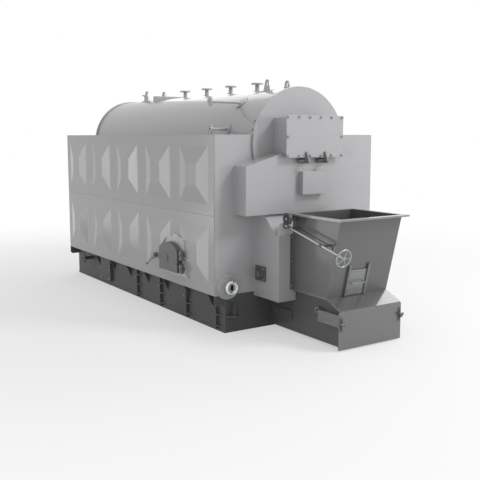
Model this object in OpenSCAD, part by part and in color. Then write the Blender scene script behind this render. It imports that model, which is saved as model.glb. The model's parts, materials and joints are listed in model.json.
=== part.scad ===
// Packaged coal-fired steam boiler with a chain grate. X runs across, Y from front to rear, Z up.
// The origin is on the floor under the middle of the casing. The hopper is at the front, towards -Y.

/* [Casing] */
// Width of the casing over its side sheets, without the pressed fields
casing_w = 2500; // [2400:10:2900]
// Length of the casing
casing_l = 4800; // [4600:10:5600]
// Height of the casing's underside above the floor
casing_z = 470; // [440:5:520]
// Height of the casing from its underside to its top
casing_h = 1920; // [1880:10:2100]
// Thickness of the cladding sheets
sheet_t = 10; // [6:1:14]
// Number of cladding panels along each side
panel_cols = 5; // [4:1:7]
// Number of cladding panels one above the other
panel_rows = 2; // [1:1:3]
// Open seam between two panels
panel_seam = 6; // [4:1:12]
// Flat margin round the pressed field of a panel
panel_margin = 130; // [100:5:160]
// How far the pressed field stands out
panel_rise = 40; // [20:2:60]
// Width of the sloping facets round the flat middle of a field
panel_slope = 215; // [150:5:240]

/* [Base] */
// How far the base stands back under each side of the casing
base_inset = 150; // [120:5:180]
// Height of the foot rail along the floor
rail_h = 26; // [16:2:40]
// How far the foot rail stands out
rail_t = 6; // [4:1:14]
// Number of stanchions along each side of the base
post_count = 4; // [2:1:6]
// Distance from the front of the base to the first stanchion
post_start = 165; // [150:5:300]
// Distance between two stanchions
post_pitch = 740; // [650:2:760]
// How far a stanchion stands out
post_d = 38; // [30:2:60]
// Plate thickness of a stanchion and its ribs
post_t = 18; // [12:1:24]
// Length of the tapered ribs in front of a stanchion
rib_l = 110; // [60:2:120]
// Number of brackets under each overhang
gusset_count = 7; // [4:1:9]
// Distance from the front of the base to the first bracket
gusset_start = 270; // [260:5:280]
// Distance between two brackets
gusset_pitch = 594; // [590:1:600]
// Height of a bracket
gusset_h = 200; // [140:5:240]
// Width of a bracket along the underside of the casing
gusset_w = 96; // [80:2:140]
// Plate thickness of a bracket
gusset_t = 12; // [8:1:16]
// Height of the corner plates under the overhang
corner_h = 124; // [100:2:160]
// Length of the bolted cover on the side of the base
cover_l = 366; // [300:2:420]
// Distance from the front of the base to that cover
cover_y = 3340; // [3300:10:3420]
// How far that cover stands out
cover_d = 46; // [30:2:60]
// Height of the tow lugs above the floor
tow_z = 200; // [160:5:240]
// Radius of the half-round plate of a tow lug
tow_plate_r = 90; // [70:2:110]
// Height of a tow lug above its plate
tow_h = 165; // [130:5:200]
// Width of the eye plate of a tow lug
tow_eye_d = 80; // [60:2:100]
// Distance from the front of the casing to the blowdown stub
blowdown_y = 4160; // [4100:10:4300]
// Height of the blowdown stub above the floor
blowdown_z = 350; // [320:5:360]
// Length of the blowdown stub
blowdown_l = 172; // [140:2:200]

/* [Drum] */
// Outer radius of the drum
drum_r = 700; // [640:5:760]
// Depth of the drum's axis below the top of the casing
drum_drop = 120; // [80:5:160]
// Plate thickness of the drum shell
drum_wall = 16; // [12:1:22]
// How far the flat heads reach past the shell
head_lip = 15; // [5:1:25]
// Thickness of the flat heads
head_t = 30; // [20:1:40]
// Length of shell that shows behind the casing
drum_tail = 40; // [20:5:80]

/* [Flanged nozzles] */
// Outer radius of a nozzle pipe
pipe_r = 28.5; // [24:0.5:32]
// Wall of a nozzle pipe
pipe_wall = 3.5; // [2.5:0.5:5]
// Outer radius of a nozzle flange
flange_r = 82.5; // [78:0.5:90]
// Thickness of a nozzle flange
flange_t = 20; // [14:1:24]
// Diameter of the bolt circle
flange_pcd = 125; // [118:1:130]
// Radius of the four bolt holes
flange_hole_r = 9; // [7:0.5:11]
// Height of the flange faces above the top of the drum
nozzle_h = 110; // [90:5:180]
// Distance from the front of the casing to the first nozzle
nozzle_start = 910; // [880:10:960]
// Distance between two nozzles
nozzle_pitch = 660; // [600:10:680]
// Distance from the front of the casing to the small vent nozzle
vent_y = 4315; // [4200:5:4400]

/* [Gauge stubs] */
// Distance from the front of the casing to the gauge stubs
gauge_y = 600; // [520:10:660]
// Height of the upper stub above the drum's axis
gauge_top = 530; // [480:10:560]
// Height of the lower stub above the drum's axis
gauge_low = 190; // [188:2:260]
// Distance from the middle of the boiler to the gauge flange faces
gauge_reach = 940; // [880:10:1000]
// Outer radius of the gauge pipes
gauge_pipe_r = 17; // [13:0.5:21]
// Outer radius of the gauge flanges
gauge_flange_r = 57.5; // [52:0.5:62]
// Diameter of the bolt circle of the gauge flanges
gauge_pcd = 85; // [78:1:88]
// Radius of the four bolt holes of the gauge flanges
gauge_hole_r = 7; // [5:0.5:9]
// Thickness of the gauge flanges
gauge_flange_t = 16; // [12:1:20]
// Wall of the gauge pipes
gauge_wall = 3; // [2:0.5:4]
// Radius of the round pad under a gauge stub
gauge_pad_r = 67; // [50:1:67]

/* [Lifting lugs] */
// Distance of a lug from the middle of the boiler
lug_x = 160; // [130:5:200]
// Distance from the front of the casing to the front lugs
lug_front = 450; // [400:10:500]
// Distance from the front of the casing to the rear lugs
lug_rear = 3920; // [3860:10:3980]
// Height of the front lugs above the top of the drum
lug_h = 125; // [100:5:180]
// Height of the rear lugs above the top of the drum
lug_rear_h = 155; // [110:5:180]
// Width of a lug at its foot
lug_w = 170; // [140:5:200]
// Plate thickness of the lugs
lug_t = 20; // [14:1:26]

/* [Front smoke box] */
// Width of the smoke box
smoke_w = 1930; // [1800:10:2000]
// Depth of the smoke box in front of the casing
smoke_d = 250; // [220:5:300]
// Height of its underside above the floor
smoke_z = 1440; // [1425:5:1460]
// Height of its upright sides
smoke_h = 580; // [540:5:620]
// Rise of its sloping shoulders
shoulder_h = 145; // [120:5:170]
// Width of its flat top
smoke_top_w = 880; // [860:10:1000]
// Width of the bolted box above it
upper_w = 820; // [760:10:860]
// Height of the bolted box above it
upper_h = 425; // [380:5:460]
// Depth of the bolted box above it
upper_d = 290; // [270:5:300]
// How far the bolted cover reaches past its box
cover_lip = 32; // [20:2:50]
// Thickness of the bolted cover
cover_t = 15; // [10:1:20]
// How far the cover hangs below its box
cover_drop = 50; // [20:2:60]

/* [Grate housing] */
// Width of the housing in front of the casing
house_w = 1340; // [1300:10:1400]
// Depth of the housing
house_d = 500; // [460:5:510]
// Height of its underside above the floor
house_z = 420; // [410:5:430]
// Height where its upright front ends
house_front_z = 1220; // [1200:5:1240]
// Depth of the small ledge above the upright front
house_ledge = 80; // [40:5:90]
// Radius of the ears on the ledge
ear_r = 50; // [40:1:60]
// Height of the ears above the ledge
ear_h = 144; // [110:2:150]
// Thickness of the ears
ear_t = 12; // [8:1:20]
// Distance from the housing's front to the middle of the side hatch
hatch_y = 355; // [330:5:375]
// Height of the side hatch's lower edge above the floor
hatch_z = 625; // [560:5:700]
// Width of the side hatch
hatch_w = 210; // [160:5:240]
// Height of the side hatch
hatch_h = 180; // [140:5:220]

/* [Front of the grate] */
// Distance from the casing to the front panel's outer face
grate_d = 1360; // [1330:5:1400]
// Height of the grate deck's top above the floor
deck_z = 560; // [545:5:580]
// How far the front panel reaches past each side of the hopper
front_panel_lip = 10; // [4:1:20]
// Height of the front panel's top above the floor
front_panel_z = 455; // [435:5:480]
// Gap between the floor and the front panel
front_panel_gap = 15; // [10:1:30]
// Thickness of the grate's plates
grate_t = 15; // [10:1:20]
// Length of the chain tension guards behind the front panel
guard_l = 355; // [300:5:400]
// Height of the guards' lower edge above the floor
guard_z = 275; // [250:5:290]
// Height of the guards
guard_h = 135; // [110:5:150]
// How far the guards stand out from the side plates, up to the front panel's edge
guard_d = 60; // [40:2:70]
// Height of the middle of the tension clamps above the floor
clamp_z = 310; // [280:5:330]
// Height of a tension clamp
clamp_h = 160; // [120:5:200]
// Width of a tension clamp
clamp_w = 36; // [30:1:44]
// Thickness of a tension clamp
clamp_t = 8; // [6:1:12]
// Gap between a clamp and the edge of the front panel
clamp_inset = 8; // [4:1:14]
// Radius of the clamp's stud
clamp_stud_r = 9; // [7:1:10]
// Length of the clamp's stud in front of the panel
clamp_stud_l = 62; // [50:2:70]

/* [Header ends] */
// Distance from the side of the casing to the middle of a header end
header_inset = 185; // [170:5:220]
// Height of a header end's middle above the foot of the casing
header_up = 103; // [95:1:120]
// Radius of the pad round a header end
header_pad_r = 155; // [130:1:160]
// Thickness of that pad
header_pad_t = 22; // [16:1:30]
// Radius of the collar on the pad
header_collar_r = 98; // [90:1:110]
// How far the collar stands in front of the casing
header_collar_l = 46; // [36:1:60]
// Radius of the header's neck
header_r = 70; // [60:1:80]
// How far the neck stands in front of the casing
header_l = 105; // [90:1:130]
// Radius of the rim at the neck's end
header_rim_r = 86; // [80:1:95]
// Thickness of that rim
header_rim_t = 17; // [12:1:24]
// Radius of the header's bore
header_bore_r = 47; // [40:1:54]

/* [Hopper] */
// Width of the hopper over its side walls
hopper_w = 930; // [900:10:960]
// Depth of the hopper at its foot, measured from the housing
hopper_d = 620; // [590:10:650]
// Depth of the hopper at its rim, measured from the housing
hopper_rim_d = 845; // [820:5:900]
// Height of the rim above the floor
hopper_rim_z = 1466; // [1450:1:1500]
// Plate thickness of the hopper
hopper_t = 8; // [6:1:12]
// Width of the rim round the hopper's mouth
rim_w = 62; // [50:2:80]
// Height of the lip that hangs from the rim's outer edge
rim_lip = 20; // [12:1:30]
// Width of the upright flanges against the housing
hopper_flange_w = 40; // [30:2:60]

/* [Slide gate] */
// Distance of the gate from the middle of the hopper, to the left
gate_x = 60; // [40:5:140]
// Width of the gate plate
gate_w = 290; // [260:5:320]
// Height of the gate plate
gate_h = 300; // [260:5:320]
// Thickness of the gate plate
gate_t = 8; // [6:1:10]
// Height of the two guides
guide_h = 375; // [350:5:400]

/* [Lifting gear] */
// Slope of the hand shaft
gear_tilt = 13.75; // [11:0.25:15]
// Distance of the hand shaft from the hopper's side wall
gear_gap = 130; // [110:1:150]
// Distance from the housing to the cross shaft
cross_y = 66; // [62:1:80]
// Height of the cross shaft above the floor
cross_z = 1417; // [1405:1:1425]
// Radius of the cross shaft
cross_r = 15; // [12:0.5:18]
// How far the cross shaft reaches into the hopper
cross_reach = 120; // [90:5:160]
// Outer radius of the worm wheel
worm_wheel_r = 70; // [66:1:74]
// Width of the worm wheel
worm_wheel_t = 32; // [26:1:36]
// Number of teeth of the worm wheel
worm_teeth = 36; // [30:1:40]
// Outer radius of the worm
worm_r = 16; // [14:1:20]
// Length of the worm
worm_l = 38; // [30:2:40]
// Radius of the hand shaft
hand_shaft_r = 12; // [10:0.5:14]
// Distance along the hand shaft from the worm to the handwheel
hand_shaft_l = 1030; // [960:1:1060]
// Distance along the hand shaft from the worm to its second bearing
bearing_l = 640; // [500:5:700]
// Width of the bar on the hopper's wall that carries the bearings
gear_bar_w = 32; // [24:2:40]
// Radius of the handwheel's rim
handwheel_r = 98; // [85:1:110]
// Radius of the round bar of the rim
rim_bar_r = 9; // [7:0.5:11]
// Number of spokes in the handwheel
spoke_count = 5; // [3:1:8]

/* [Side door] */
// Distance from the front of the casing to the middle of the door frame
frame_y = 950; // [940:5:975]
// Distance from the front of the casing to the middle of the door
door_y = 975; // [965:5:985]
// Height of the door's lower edge above the floor
door_z = 646; // [640:2:660]
// Width of the door
door_w = 486; // [440:2:500]
// Height of the door at its middle
door_h = 375; // [350:1:390]
// Radius of the door's arched top
door_arch_r = 384; // [340:2:440]
// Thickness of the door
door_t = 68; // [50:2:80]
// Radius of the arch of the frame's flange
frame_r = 395; // [370:5:410]
// Height of the middle of that arch above the floor
frame_arch_z = 730; // [710:5:760]
// Height of the frame's lower edge above the floor
frame_z = 590; // [575:5:600]
// Half width of the frame at its foot
frame_foot = 350; // [330:5:380]
// Half width of the frame at the foot of its arch
frame_top = 300; // [290:5:330]
// Thickness of the frame's flange
frame_flange_t = 12; // [8:1:16]
// How far the frame's hood stands out from the casing sheets
frame_d = 36; // [30:2:46]
// Width of the flange round the hood
frame_lip = 25; // [15:1:35]

/* [Hidden] */

$fn = 64;
// Facets of the large drum
drum_fn = 360;

// Gap left between a curved face and what it seats on
seat_gap = 0.3;
// Radial clearance of a shaft in its bearing
run_gap = 0.06;
// Play round the slide gate
gate_play = 5;
// Overcut that keeps cutting faces apart
cut = 1;

front_y = -casing_l / 2;
rear_y = casing_l / 2;
casing_top = casing_z + casing_h;
side_x = casing_w / 2;
base_x = side_x - base_inset;
core_x = side_x - sheet_t;
drum_z = casing_top - drum_drop;
drum_top = drum_z + drum_r;
drum_end = rear_y + drum_tail;
panel_l = casing_l / panel_cols;
panel_h = casing_h / panel_rows;

paint_light = [0.72, 0.72, 0.72];
paint_dark = [0.36, 0.36, 0.37];
paint_base = [0.30, 0.30, 0.31];
bare_metal = [0.80, 0.80, 0.81];

// A box between two corners
module block(from, to) {
    translate(from) cube(to - from);
}

// The same piece on the left and on the right
module both_sides() {
    children();
    mirror([1, 0, 0]) children();
}

// An outline in Y and Z, pushed from x0 to x1
module side_prism(x0, x1) {
    translate([x0, 0, 0]) rotate([90, 0, 90]) linear_extrude(x1 - x0) children();
}

// An outline in X and Z, pushed from y0 to y1
module front_prism(y0, y1) {
    translate([0, y1, 0]) rotate([90, 0, 0]) linear_extrude(y1 - y0) children();
}

// A round bar along X
module bar_x(r, x0, x1) {
    translate([x0, 0, 0]) rotate([0, 90, 0]) cylinder(r = r, h = x1 - x0);
}

// A round bar along Y
module bar_y(r, y0, y1) {
    translate([0, y1, 0]) rotate([90, 0, 0]) cylinder(r = r, h = y1 - y0);
}

// The room that the drum takes, with a given play
module drum_room(play) {
    translate([0, 0, drum_z]) bar_y(drum_r + play, front_y - drum_r, drum_end + drum_r, $fn = drum_fn);
}

// The room that the front head takes
module head_room() {
    translate([0, 0, drum_z]) bar_y(drum_r + head_lip + seat_gap, front_y - head_t, front_y + cut);
}

module base_box() {
    color(paint_base) {
        block([-base_x, front_y, 0], [base_x, rear_y, casing_z]);
        both_sides() block([base_x - cut, front_y, 0], [base_x + rail_t, rear_y, rail_h]);
    }
}

// One upright fin with tapered ribs in front of it, the top one left out where a bracket stands
module post(y) {
    rib_z = [casing_z * 0.12, casing_z * 0.42, casing_z * 0.72];
    rib_tip = 4;
    block([0, -post_t / 2, rail_h], [post_d, post_t / 2, casing_z]);
    for (z = rib_z) if (z + post_t < casing_z - gusset_h || !bracket_near(y)) {
        translate([0, -post_t / 2, z]) linear_extrude(post_t) polygon([
            [0, -rib_l], [rib_tip, -rib_l], [post_d - 2, 0], [post_d - 2, cut], [0, cut]
        ]);
    }
}

// Whether a bracket stands where the ribs of a stanchion at y would be
function bracket_near(y) = len([
    for (i = [0 : gusset_count - 1])
        let (ahead = y - gusset_start - i * gusset_pitch)
        if (ahead > -gusset_t && ahead < rib_l + post_t / 2 + gusset_t) i
]) > 0;

module post_row() {
    for (i = [0 : post_count - 1]) {
        translate([base_x, front_y + post_start + i * post_pitch, 0]) post(post_start + i * post_pitch);
    }
}

module left_posts() {
    color(paint_base) mirror([1, 0, 0]) post_row();
}

module right_posts() {
    color(paint_base) post_row();
}

// A corner plate under the overhang with its outer lower corner rounded
module corner_plate() {
    corner_r = 42;
    translate([base_x, casing_z - corner_h + corner_r]) square([base_inset, corner_h - corner_r]);
    translate([base_x, casing_z - corner_h]) square([base_inset - corner_r, corner_r + cut]);
    translate([side_x - corner_r, casing_z - corner_h + corner_r]) circle(r = corner_r);
}

module overhang_brackets() {
    color(paint_base) both_sides() {
        for (i = [0 : gusset_count - 1]) {
            y = front_y + gusset_start + i * gusset_pitch;
            front_prism(y, y + gusset_t) polygon([
                [base_x, casing_z], [base_x + gusset_w, casing_z], [base_x, casing_z - gusset_h]
            ]);
        }
        for (y = [front_y, rear_y - gusset_t]) front_prism(y, y + gusset_t) corner_plate();
    }
}

module base_covers() {
    foot = 80;
    head = 30;
    color(paint_base) both_sides() {
        block([base_x, front_y + cover_y, foot],
            [base_x + cover_d, front_y + cover_y + cover_l, casing_z - head]);
    }
}

// A round plate lying flat with an upright eye plate on it, pointing out of the wall along -Y
module wall_eye(plate_r, plate_t, eye_h, eye_d, hole_r) {
    intersection() {
        cylinder(r = plate_r, h = plate_t);
        block([-plate_r, -plate_r, 0], [plate_r, 0, plate_t]);
    }
    difference() {
        side_prism(-plate_t / 2, plate_t / 2) intersection() {
            union() {
                translate([-eye_d / 2, eye_h - eye_d / 2]) circle(r = eye_d / 2);
                translate([-eye_d, plate_t]) square([eye_d, eye_h - eye_d / 2 - plate_t]);
                translate([-eye_d / 2, plate_t]) square([eye_d / 2, eye_h - plate_t]);
            }
            translate([-eye_d, plate_t]) square([eye_d, eye_h]);
        }
        translate([0, -eye_d / 2, eye_h - eye_d / 2]) bar_x(hole_r, -plate_t, plate_t);
    }
}

module tow_lugs() {
    color(paint_base) both_sides() {
        translate([base_x - tow_plate_r - 5, front_y, tow_z]) {
            wall_eye(tow_plate_r, 16, tow_h, tow_eye_d, tow_eye_d / 4);
        }
    }
}

// A welding-neck flange at the end of a short pipe, standing on the origin along +Z
module flanged_pipe(h, r, wall, fr, ft, pcd, hr) {
    difference() {
        union() {
            cylinder(r = r, h = h - ft / 2);
            translate([0, 0, h - ft]) cylinder(r = fr, h = ft);
        }
        translate([0, 0, -cut]) cylinder(r = r - wall, h = h + 2 * cut);
        for (a = [45 : 90 : 315]) {
            rotate(a) translate([pcd / 2, 0, h - ft - cut]) cylinder(r = hr, h = ft + 2 * cut);
        }
    }
}

module blowdown_stub() {
    color(paint_base) translate([-base_x, front_y + blowdown_y, blowdown_z]) rotate([0, -90, 0]) {
        flanged_pipe(blowdown_l, pipe_r, pipe_wall, flange_r, flange_t, flange_pcd, flange_hole_r);
    }
}

module casing_core() {
    color(paint_light) difference() {
        block([-core_x, front_y + sheet_t, casing_z], [core_x, rear_y - sheet_t, casing_top - sheet_t]);
        drum_room(seat_gap);
    }
}

module end_plate(y) {
    color(paint_light) difference() {
        block([-core_x, y, casing_z], [core_x, y + sheet_t, casing_top]);
        drum_room(seat_gap);
    }
}

module front_plate() { end_plate(front_y); }

module rear_plate() { end_plate(rear_y - sheet_t); }

module top_plates() {
    color(paint_light) difference() {
        block([-core_x, front_y + sheet_t, casing_top - sheet_t], [core_x, rear_y - sheet_t, casing_top]);
        drum_room(seat_gap);
    }
}

// The outline of one pressed field, seen along the wall
module field_outline(length) {
    polygon([
        [-length / 2, 0], [-length / 2 + panel_slope, panel_rise],
        [length / 2 - panel_slope, panel_rise], [length / 2, 0]
    ]);
}

// One cladding panel with its raised field, its back on X = 0, its middle on the X axis
module panel() {
    l = panel_l - panel_seam;
    h = panel_h - panel_seam;
    block([0, -l / 2, -h / 2], [sheet_t, l / 2, h / 2]);
    translate([sheet_t, 0, 0]) intersection() {
        rotate([0, 0, -90]) linear_extrude(h, center = true) field_outline(l - 2 * panel_margin);
        rotate([90, 0, 0]) linear_extrude(l, center = true) rotate(-90) field_outline(h - 2 * panel_margin);
    }
}

module panel_row(row) {
    for (i = [0 : panel_cols - 1]) {
        translate([core_x, front_y + (i + 0.5) * panel_l, casing_z + (row + 0.5) * panel_h]) panel();
    }
}

// Outline of the door frame in Y and Z, grown by a given play
module frame_outline(play) {
    knee = 170 + frame_arch_z;
    foot = frame_foot + play;
    top = frame_top + play;
    translate([front_y + frame_y, 0]) intersection() {
        translate([0, frame_arch_z]) circle(r = frame_r + play);
        polygon([
            [-foot, frame_z - play], [foot, frame_z - play], [top, knee], [top, frame_arch_z + 2 * frame_r],
            [-top, frame_arch_z + 2 * frame_r], [-top, knee]
        ]);
    }
}

module upper_rows() {
    for (row = [1 : 1 : panel_rows - 1]) panel_row(row);
}

module left_upper_panels() {
    color(paint_light) mirror([1, 0, 0]) upper_rows();
}

module right_upper_panels() {
    color(paint_light) upper_rows();
}

module left_lower_panels() {
    color(paint_light) difference() {
        mirror([1, 0, 0]) panel_row(0);
        side_prism(-side_x - panel_rise - cut, -core_x + cut) frame_outline(seat_gap);
    }
}

module right_lower_panels() {
    color(paint_light) panel_row(0);
}

module drum_shell() {
    color(paint_light) translate([0, 0, drum_z]) difference() {
        bar_y(drum_r, front_y, drum_end);
        bar_y(drum_r - drum_wall, front_y - cut, drum_end + cut);
    }
}

module drum_head(y) {
    color(paint_light) translate([0, 0, drum_z]) bar_y(drum_r + head_lip, y, y + head_t);
}

module drum_front_head() { drum_head(front_y - head_t); }

module drum_rear_head() { drum_head(drum_end); }

nozzle_foot = 30;

// Stands a nozzle on the top of the drum, its foot cut to the round shell
module on_drum(y) {
    difference() {
        translate([0, front_y + y, drum_top - nozzle_foot]) children();
        drum_room(seat_gap);
    }
}

module steam_nozzles() {
    pipe_h = nozzle_h + nozzle_foot;
    color(paint_light) for (i = [0 : 3]) on_drum(nozzle_start + i * nozzle_pitch) {
        flanged_pipe(pipe_h, pipe_r, pipe_wall, flange_r, flange_t, flange_pcd, flange_hole_r);
    }
}

module vent_nozzle() {
    pipe_h = nozzle_h + nozzle_foot;
    color(paint_light) on_drum(vent_y) {
        flanged_pipe(pipe_h, gauge_pipe_r, gauge_wall,
            gauge_flange_r, gauge_flange_t, gauge_pcd, gauge_hole_r);
    }
}

// A gauge stub pointing to the left, with a pad that follows the drum
module gauge_stub(dz) {
    pad_t = 12;
    inner_x = -sqrt(pow(drum_r, 2) - pow(dz, 2)) + 60;
    difference() {
        union() {
            translate([inner_x, 0, drum_z + dz]) rotate([0, -90, 0]) {
                cylinder(r = gauge_pipe_r, h = gauge_reach + inner_x - 8);
            }
            translate([-gauge_reach, 0, drum_z + dz]) bar_x(gauge_flange_r, 0, gauge_flange_t);
            intersection() {
                translate([0, 0, drum_z + dz]) bar_x(gauge_pad_r, -drum_r - 100, -100);
                translate([0, 0, drum_z]) {
                    bar_y(drum_r + pad_t, -gauge_pad_r - 10, gauge_pad_r + 10, $fn = drum_fn);
                }
            }
        }
        drum_room(seat_gap);
        translate([0, 0, drum_z + dz]) bar_x(gauge_pipe_r - gauge_wall, -gauge_reach - cut, 0);
        for (a = [45 : 90 : 315]) {
            translate([-gauge_reach, 0, drum_z + dz]) rotate([a, 0, 0]) translate([0, gauge_pcd / 2, 0]) {
                bar_x(gauge_hole_r, -cut, gauge_flange_t + cut);
            }
        }
    }
}

module gauge_stubs() {
    color(paint_light) translate([0, front_y + gauge_y, 0]) {
        gauge_stub(gauge_top);
        gauge_stub(gauge_low);
    }
}

// A tapered lug along the drum with a long eye and a round top
module lug(h) {
    top_r = 42;
    eye_r = 18;
    eye_l = 26;
    foot = 40;
    top_z = h - top_r;
    difference() {
        translate([0, 0, drum_top]) side_prism(-lug_t / 2, lug_t / 2) difference() {
            union() {
                translate([0, top_z]) circle(r = top_r);
                polygon([
                    [-lug_w / 2, -foot], [lug_w / 2, -foot],
                    [top_r * 0.985, top_z + top_r * 0.17], [-top_r * 0.985, top_z + top_r * 0.17]
                ]);
            }
            translate([0, top_z]) circle(r = eye_r);
            translate([0, top_z - eye_l]) circle(r = eye_r);
            translate([-eye_r, top_z - eye_l]) square([2 * eye_r, eye_l]);
        }
        translate([-lug_x, 0, 0]) drum_room(seat_gap);
    }
}

module lifting_lugs() {
    color(paint_light) both_sides() {
        translate([lug_x, front_y + lug_front, 0]) lug(lug_h);
        translate([lug_x, front_y + lug_rear, 0]) lug(lug_rear_h);
    }
}

module saddle_beam() {
    beam_w = 500;
    beam_d = 80;
    beam_y = 3430;
    beam_h = 46;
    color(paint_light) difference() {
        block([-beam_w / 2, front_y + beam_y, drum_z],
            [beam_w / 2, front_y + beam_y + beam_d, drum_top + beam_h]);
        drum_room(seat_gap);
    }
}

// A rectangular duct mouth with a bolting flange on the rear wall
module flue_outlet() {
    mouth_w = 800;
    mouth_h = 420;
    mouth_z = 1040;
    mouth_d = 160;
    wall = 8;
    lip = 60;
    lip_t = 12;
    color(paint_light) difference() {
        union() {
            block([-mouth_w / 2, rear_y, mouth_z], [mouth_w / 2, rear_y + mouth_d, mouth_z + mouth_h]);
            block([-mouth_w / 2 - lip, rear_y + mouth_d - lip_t, mouth_z - lip],
                [mouth_w / 2 + lip, rear_y + mouth_d, mouth_z + mouth_h + lip]);
        }
        block([-mouth_w / 2 + wall, rear_y - cut, mouth_z + wall],
            [mouth_w / 2 - wall, rear_y + mouth_d + cut, mouth_z + mouth_h - wall]);
        for (x = [-1, 1] * (mouth_w + lip) / 2, z = [-1, 1] * (mouth_h + lip) / 2) {
            translate([x, rear_y + mouth_d, mouth_z + mouth_h / 2 + z]) bar_y(8, -lip_t - cut, cut);
        }
    }
}

module smoke_box() {
    shoulder_z = smoke_z + smoke_h;
    color(paint_light) difference() {
        front_prism(front_y - smoke_d, front_y) polygon([
            [-smoke_w / 2, smoke_z], [smoke_w / 2, smoke_z], [smoke_w / 2, shoulder_z],
            [smoke_top_w / 2, shoulder_z + shoulder_h], [-smoke_top_w / 2, shoulder_z + shoulder_h],
            [-smoke_w / 2, shoulder_z]
        ]);
        head_room();
    }
}

module smoke_box_hatch() {
    hatch_w = 360;
    hatch_h = 280;
    hatch_d = 75;
    hatch_z = smoke_z + 225;
    color(paint_light) block([-hatch_w / 2, front_y - smoke_d - hatch_d, hatch_z],
        [hatch_w / 2, front_y - smoke_d, hatch_z + hatch_h]);
}

smoke_top = smoke_z + smoke_h + shoulder_h;
upper_y = front_y - head_t - upper_d;

module upper_box() {
    color(paint_light) block([-upper_w / 2, upper_y, smoke_top],
        [upper_w / 2, front_y - head_t, smoke_top + upper_h]);
}

module upper_cover() {
    color(paint_light) block([-upper_w / 2 - cover_lip, upper_y - cover_t, smoke_top - cover_drop],
        [upper_w / 2 + cover_lip, upper_y, smoke_top + upper_h + cover_lip]);
}

// A half-round cup on the wall with its open side up, standing on the origin and pointing along -Y
module half_cup(r, depth, bend) {
    intersection() {
        rotate_extrude() difference() {
            square([r, depth]);
            difference() {
                translate([r - bend, -cut]) square([bend + cut, bend + cut]);
                translate([r - bend, bend]) circle(r = bend);
            }
        }
        block([-r - cut, -r - cut, 0], [r + cut, 0, depth]);
    }
}

// Brackets under the bolted cover, each a half-round cup with a fin that stands up in front of the cover
module cover_hooks() {
    hook_x = 146;
    cup_r = 76;
    cup_h = 44;
    fin_t = 16;
    face_y = front_y - smoke_d;
    hook_z = smoke_top - cover_drop - seat_gap - cup_h - 26;
    fin_top = hook_z + 140;
    fin_y = face_y - 152;
    cover_y0 = upper_y - cover_t - 8;
    color(paint_light) for (x = [-hook_x, hook_x]) {
        translate([x, face_y, hook_z]) half_cup(cup_r, cup_h, 30);
        side_prism(x - fin_t / 2, x + fin_t / 2) polygon([
            [face_y, hook_z + cup_h - cut], [face_y, hook_z + cup_h + 18], [cover_y0, hook_z + cup_h + 18],
            [cover_y0, fin_top], [cover_y0 - 14, fin_top], [fin_y, hook_z + 22], [fin_y, hook_z],
            [face_y - cup_r + 20, hook_z], [face_y - cup_r + 20, hook_z + cup_h - cut]
        ]);
    }
}

module header_ends() {
    header_x = side_x - header_inset;
    header_z = casing_z + header_up;
    color(paint_light) both_sides() translate([header_x, front_y, header_z]) difference() {
        union() {
            bar_y(header_pad_r, -header_pad_t, 0);
            bar_y(header_collar_r, -header_collar_l, 0);
            bar_y(header_r, -header_l, 0);
            bar_y(header_rim_r, -header_l, header_rim_t - header_l);
        }
        bar_y(header_bore_r, -header_l - 1, 6 - header_collar_l);
    }
}

module grate_housing() {
    slope_y = smoke_z - house_front_z;
    color(paint_light) side_prism(-house_w / 2, house_w / 2) polygon([
        [front_y, house_z], [front_y - house_d, house_z], [front_y - house_d, house_front_z],
        [front_y - house_d + house_ledge, house_front_z],
        [front_y - house_d + house_ledge + slope_y, smoke_z], [front_y, smoke_z]
    ]);
}

house_y = front_y - house_d;

// Round-topped ears at both ends of the ledge, flush with the housing's front and sides
module housing_ears() {
    ear_x = house_w / 2 - ear_r;
    ear_z = house_front_z + ear_h - ear_r;
    color(paint_light) both_sides() front_prism(house_y, house_y + ear_t) difference() {
        union() {
            translate([ear_x, ear_z]) circle(r = ear_r);
            translate([ear_x - ear_r, house_front_z]) square([2 * ear_r, ear_z - house_front_z]);
        }
        translate([ear_x, ear_z - ear_r * 0.8]) circle(r = 9);
    }
}

// A bolted hatch with a curved grip on each side of the housing
module housing_hatches() {
    plate_t = 18;
    boss_r = hatch_w / 4;
    boss_t = 14;
    color(paint_dark) both_sides() translate([house_w / 2, house_y + hatch_y, hatch_z]) {
        block([0, -hatch_w / 2, 0], [plate_t, hatch_w / 2, hatch_h]);
        translate([plate_t, 0, hatch_h / 2]) bar_x(boss_r, 0, boss_t);
        translate([plate_t + boss_t, 0, hatch_h / 2]) difference() {
            bar_x(boss_r - 8, 0, boss_t);
            bar_x(boss_r - 20, -cut, boss_t + cut);
            block([-cut, -boss_r, 0], [boss_t + cut, boss_r, boss_r]);
        }
    }
}

panel_front_y = front_y - grate_d;
hopper_foot_y = house_y - hopper_d;
front_panel_w = hopper_w + 2 * front_panel_lip;
grate_w = front_panel_w - 2 * guard_d;

module grate_side_plates() {
    color(paint_dark) both_sides() side_prism(grate_w / 2 - grate_t, grate_w / 2) polygon([
        [front_y, 30], [panel_front_y + grate_t, 30], [panel_front_y + grate_t, front_panel_z - 30],
        [hopper_foot_y, deck_z - grate_t - 30], [hopper_foot_y, deck_z - grate_t],
        [house_y, deck_z - grate_t], [house_y, house_z], [front_y, house_z]
    ]);
}

module grate_deck() {
    color(paint_dark) block([-hopper_w / 2, hopper_foot_y, deck_z - grate_t],
        [hopper_w / 2, house_y, deck_z]);
}

// The sloping plate from the foot of the hopper down to the front panel
module apron() {
    color(paint_dark) side_prism(-hopper_w / 2, hopper_w / 2) polygon([
        [hopper_foot_y, deck_z], [panel_front_y, front_panel_z],
        [panel_front_y, front_panel_z - 12], [hopper_foot_y, deck_z - 12]
    ]);
}

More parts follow.
